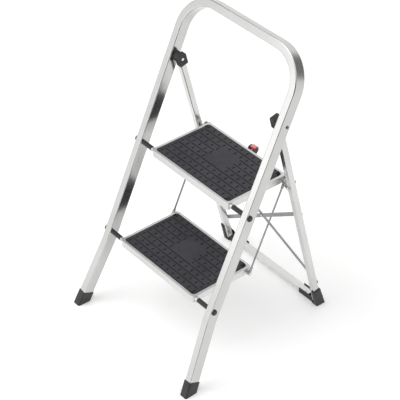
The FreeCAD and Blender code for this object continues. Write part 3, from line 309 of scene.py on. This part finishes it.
def moulded(name, light, dark, roughness, grain, depth):
    """Injection moulded plastic with a fine leathery grain."""
    surface = Surface(name, light, roughness)
    pits = surface.pores(grain)
    clouds = surface.noise(45.0, detail=4.0, seed=6.0)
    surface.colour(surface.mottle(clouds, 0.35, 0.7, light, dark))
    surface.roughness(surface.spread(clouds, 0.3, 0.7, roughness - 0.07, roughness + 0.07))
    surface.bump(pits, 0.25, depth)
    return surface.material


def black_plastic():
    """The feet, the shoes, the latch housing, and the hinge caps with their spacers."""
    return moulded("black_plastic", (0.032, 0.032, 0.032), (0.022, 0.022, 0.022), roughness=0.5,
                   grain=1500.0, depth=0.1 * MM)


def sleeve_plastic():
    """The sleeves and end caps of the axles, darker and smoother."""
    return moulded("sleeve_plastic", (0.016, 0.016, 0.017), (0.010, 0.010, 0.011), roughness=0.34,
                   grain=2200.0, depth=0.04 * MM)


def red_plastic():
    """The glossy release button, with a painted highlight that makes it lighter on its crest."""
    surface = Surface("red_plastic", (0.50, 0.022, 0.026), 0.22, specular=0.6)
    surface.shader.inputs["Coat Weight"].default_value = 1.0
    surface.shader.inputs["Coat Roughness"].default_value = 0.12
    clouds = surface.noise(110.0, seed=7.0)
    body = surface.mottle(clouds, 0.3, 0.7, (0.54, 0.030, 0.034), (0.44, 0.018, 0.022))
    # Painted highlight: the top of the button blends towards a light pink, as if lit from above
    crest_highlight = surface.spread(surface.split(surface.generated)["Z"], 0.62, 0.95, 0.0, 1.0)
    surface.colour(surface.blend(crest_highlight, body, (0.80, 0.20, 0.20)))
    surface.roughness(surface.spread(clouds, 0.3, 0.7, 0.16, 0.26))
    surface.bump(surface.noise(900.0, detail=2.0, seed=8.0), 0.05, 0.1 * MM)
    return surface.material


def tread_rubber():
    """Matt rubber with a grain, and dust in soft patches, with painted shade that darkens it in its grooves
    and along its rim.
    """
    surface = Surface("tread_rubber", (0.042, 0.042, 0.047), 0.62, specular=0.35)
    dust = surface.noise(26.0, detail=5.0, seed=9.0)
    fine = surface.noise(900.0, seed=10.0)
    pits = surface.pores(1100.0)
    top = surface.mottle(dust, 0.35, 0.72, (0.034, 0.034, 0.041), (0.050, 0.050, 0.058))
    place = surface.split(surface.generated)
    # Painted shade: the lower parts of the mat, its groove floors and walls, blend towards near black
    lit = surface.spread(place["Z"], 0.55, 0.95, 0.0, 1.0)
    low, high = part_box("upper_mat")
    # Painted shade along the rim, where the mat meets the tray
    for axis, span in (("X", high.x - low.x), ("Y", high.y - low.y)):
        inward = surface.arithmetic("PINGPONG", place[axis], 0.5)
        rim = surface.spread(inward, MAT_RIM_SHADE_DARKEST / span, MAT_RIM_SHADE_ENDS / span, 0.35, 1.0)
        lit = surface.arithmetic("MINIMUM", lit, rim)
    # The near black is the painted shade colour in the grooves and along the rim
    surface.colour(surface.blend(lit, (0.010, 0.010, 0.013), top))
    surface.roughness(surface.spread(fine, 0.3, 0.7, 0.54, 0.70))
    surface.bump(pits, 0.3, 0.12 * MM)
    surface.bump(fine, 0.2, 0.08 * MM)
    return surface.material


def finish_of(node_name, slot):
    """The name of a node's own finish, or else of its slot's."""
    for word, finish in OWN_FINISHES.items():
        if word in node_name:
            return finish
    return slot


def dress_nodes(finishes):
    """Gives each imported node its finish."""
    slots = {row["node"]: row["material_slot"] for row in frame["record"]["subparts"]}
    for name, node in frame["nodes"].items():
        finish = finishes[finish_of(name, slots[name])]
        if not node.material_slots:
            node.data.materials.append(finish)
        for slot in node.material_slots:
            slot.material = finish


def mesh_object(name, mesh):
    """Turns a mesh under construction into an object in the scene."""
    data = bpy.data.meshes.new(name)
    mesh.to_mesh(data)
    mesh.free()
    item = bpy.data.objects.new(name, data)
    bpy.context.scene.collection.objects.link(item)
    return item


def rounded(values):
    """Places that should be one and differ in their last digits come out the same."""
    return tuple(round(value, 7) for value in values)


def chained(edges):
    """The corners of an outline in their order, from its edges in any order."""
    following = {rounded(first): rounded(second) for first, second in edges}
    corners = [next(iter(following))]
    while following[corners[-1]] != corners[0]:
        corners.append(following[corners[-1]])
    return corners


def quarter_arc(centre, radius, start):
    """Points along a quarter circle that starts at an angle in degrees."""
    angles = [math.radians(start + 90 * step / MAT_ARC_STEPS) for step in range(MAT_ARC_STEPS + 1)]
    return [(centre[0] + radius * math.cos(angle), centre[1] + radius * math.sin(angle)) for angle in angles]


def relief_sheet(name, low, high, radius, depth, sunk):
    """A sheet with round corners whose top has sunk rectangles, each given as left, right, front and back."""
    xs = sorted({low.x, low.x + radius, high.x - radius, high.x, *(x for area in sunk for x in area[:2])})
    ys = sorted({low.y, low.y + radius, high.y - radius, high.y, *(y for area in sunk for y in area[2:])})
    last_x, last_y = len(xs) - 2, len(ys) - 2
    mesh = bmesh.new()
    made = {}
    rim = []

    def corner(x, y, z):
        key = rounded((x, y, z))
        if key not in made:
            made[key] = mesh.verts.new((x, y, z))
        return made[key]

    def level(i, j):
        """The height of a cell of the grid, or None outside it."""
        if not (0 <= i <= last_x and 0 <= j <= last_y):
            return None
        x, y = (xs[i] + xs[i + 1]) / 2, (ys[j] + ys[j + 1]) / 2
        is_sunk = any(left < x < right and front < y < back for left, right, front, back in sunk)
        return high.z - depth if is_sunk else high.z

    def wall(first, second, upper, lower):
        mesh.faces.new([corner(*first, upper), corner(*first, lower),
                        corner(*second, lower), corner(*second, upper)])

    def cell(i, j):
        """One cell's face, the walls down to lower cells beside it, and its part of the rim."""
        x0, x1, y0, y1 = xs[i], xs[i + 1], ys[j], ys[j + 1]
        here = level(i, j)
        mesh.faces.new([corner(x, y, here) for x, y in ((x0, y0), (x1, y0), (x1, y1), (x0, y1))])
        sides = (((i - 1, j), (x0, y1), (x0, y0)), ((i + 1, j), (x1, y0), (x1, y1)),
                 ((i, j - 1), (x0, y0), (x1, y0)), ((i, j + 1), (x1, y1), (x0, y1)))
        for beside, first, second in sides:
            there = level(*beside)
            if there is None:
                rim.append((first, second))
            elif there < here:
                wall(first, second, here, there)

    for i in range(last_x + 1):
        for j in range(last_y + 1):
            if i not in (0, last_x) or j not in (0, last_y):
                cell(i, j)

    left, right = low.x + radius, high.x - radius
    front, back = low.y + radius, high.y - radius
    for x, y, start in ((left, front, 180), (left, back, 90), (right, front, 270), (right, back, 0)):
        arc = quarter_arc((x, y), radius, start)
        mesh.faces.new([corner(*point, high.z) for point in [(x, y), *arc]])
        rim += zip(arc, arc[1:])

    for first, second in rim:
        wall(first, second, high.z, low.z)
    mesh.faces.new([corner(*point, low.z) for point in reversed(chained(rim))])
    bmesh.ops.recalc_face_normals(mesh, faces=mesh.faces)
    return mesh_object(name, mesh)


def round_edges(item, width):
    """Rounds an object's sharp edges."""
    modifier = item.modifiers.new("round_edges", "BEVEL")
    modifier.width = width
    modifier.segments = 3
    modifier.limit_method = "ANGLE"
    modifier.angle_limit = math.radians(30)
    modifier.harden_normals = True
    for polygon in item.data.polygons:
        polygon.use_smooth = True


def make_mat(name, body, rubber):
    """A mat with long grooves across the tread, short slots between them and a plain field in the middle."""
    rows = 8
    columns = 13
    low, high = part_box(name)
    middle = (low.x + high.x) / 2
    row_depth = (high.y - low.y) / rows
    groove = 2.6 * MM
    slot_width = 3.4 * MM
    slot_length = 8.5 * MM
    border = 7.5 * MM
    pitch = 20.75 * MM
    slots_middle = middle + 1.5 * MM
    field_left, field_right = middle - 40 * MM, middle + 31 * MM
    field_rows = range(3, 6)
    depth = 1.5 * MM
    sunk = []
    for row in range(1, rows):
        y = low.y + row * row_depth
        stretches = [(low.x + border, high.x - border)]
        if row - 1 in field_rows:
            stretches = [(low.x + border, field_left), (field_right, high.x - border)]
        sunk += [(left, right, y - groove / 2, y + groove / 2) for left, right in stretches]
    for row in range(rows):
        y = low.y + (row + 0.5) * row_depth
        for column in range(columns):
            x = slots_middle + (column - (columns - 1) / 2) * pitch
            if row in field_rows and field_left < x < field_right:
                continue
            sunk.append((x - slot_width / 2, x + slot_width / 2,
                         y - slot_length / 2, y + slot_length / 2))
    mat = relief_sheet(f"{name}_ribbed", low, high, MAT_CORNER, depth, sunk)
    mat.data.materials.append(rubber)
    round_edges(mat, MAT_EDGE_ROUNDING)
    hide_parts(name)
    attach(mat, body)


def make_camera():
    data = bpy.data.cameras.new("camera")
    data.lens = CAMERA_LENS
    data.sensor_width = CAMERA_SENSOR
    camera = bpy.data.objects.new("camera", data)
    camera.location = CAMERA_PLACE
    camera.rotation_mode = "QUATERNION"
    camera.rotation_quaternion = CAMERA_AIM.to_track_quat("-Z", "Y")
    bpy.context.scene.collection.objects.link(camera)
    bpy.context.scene.camera = camera


def make_floor():
    """A wide pale floor that glows a little, so that the shadows on it stay faint."""
    light, dark = (0.90, 0.90, 0.895), (0.885, 0.885, 0.882)
    surface = Surface("floor", light, 0.85, specular=0.1)
    surface.colour(surface.mottle(surface.noise(1.3, seed=11.0), 0.2, 0.8, light, dark))
    surface.shader.inputs["Emission Color"].default_value = (1, 1, 1, 1)
    surface.shader.inputs["Emission Strength"].default_value = FLOOR_GLOW
    mesh = bmesh.new()
    bmesh.ops.create_circle(mesh, cap_ends=True, segments=96, radius=FLOOR_RADIUS)
    floor = mesh_object("floor", mesh)
    floor.data.materials.append(surface.material)


def studio_lobe(tree, direction, towards, inside, outside):
    """Is 1 near a direction and 0 away from it, with a soft edge between two angles in degrees."""
    facing = tree.nodes.new("ShaderNodeVectorMath")
    facing.operation = "DOT_PRODUCT"
    facing.inputs[1].default_value = Vector(towards).normalized()
    tree.links.new(direction, facing.inputs[0])
    edge = tree.nodes.new("ShaderNodeMapRange")
    edge.interpolation_type = "SMOOTHSTEP"
    edge.inputs["From Min"].default_value = math.cos(math.radians(outside))
    edge.inputs["From Max"].default_value = math.cos(math.radians(inside))
    tree.links.new(facing.outputs["Value"], edge.inputs["Value"])
    return edge.outputs["Result"]


def make_surroundings():
    """Light from all round with a soft box and dark cards for the metal to mirror, and plain white behind."""
    world = bpy.data.worlds.new("studio")
    world.use_nodes = True
    bpy.context.scene.world = world
    tree = world.node_tree
    direction = tree.nodes.new("ShaderNodeTexCoord").outputs["Generated"]
    level = STUDIO_LEVEL
    for towards, inside, outside, more in STUDIO_LOBES:
        lobe = studio_lobe(tree, direction, towards, inside, outside)
        level = arithmetic(tree, "ADD", arithmetic(tree, "MULTIPLY", lobe, more), level)
    lighting = tree.nodes["Background"]
    lighting.inputs["Color"].default_value = (1, 1, 1, 1)
    tree.links.new(level, lighting.inputs["Strength"])

    backdrop = tree.nodes.new("ShaderNodeBackground")
    backdrop.inputs["Color"].default_value = (1, 1, 1, 1)
    mix = tree.nodes.new("ShaderNodeMixShader")
    tree.links.new(tree.nodes.new("ShaderNodeLightPath").outputs["Is Camera Ray"], mix.inputs["Fac"])
    tree.links.new(lighting.outputs[0], mix.inputs[1])
    tree.links.new(backdrop.outputs[0], mix.inputs[2])
    tree.links.new(mix.outputs[0], tree.nodes["World Output"].inputs["Surface"])


def make_lamp():
    """A wide soft lamp overhead."""
    lamp = bpy.data.lights.new("overhead", "AREA")
    lamp.shape = "DISK"
    lamp.size = LAMP_SIZE
    lamp.energy = LAMP_POWER
    light = bpy.data.objects.new("overhead", lamp)
    light.location = LAMP_PLACE
    light.rotation_mode = "QUATERNION"
    light.rotation_quaternion = (LAMP_AIM - LAMP_PLACE).to_track_quat("-Z", "Y")
    light.visible_camera = False
    bpy.context.scene.collection.objects.link(light)


make_camera()
make_floor()
make_surroundings()
make_lamp()
bpy.context.scene.view_settings.view_transform = "Standard"
makers = (rail_aluminium, tray_aluminium, leg_aluminium, crossbar_aluminium, brace_steel, wire_steel,
          bracket_steel, fastener_steel, dark_screw, hinge_pin_steel, black_plastic, sleeve_plastic,
          red_plastic, tread_rubber)
finishes = {maker.__name__: maker() for maker in makers}
dress_nodes(finishes)
for tread in ("upper", "lower"):
    make_mat(f"{tread}_mat", f"{tread}_tread", finishes["tread_rubber"])
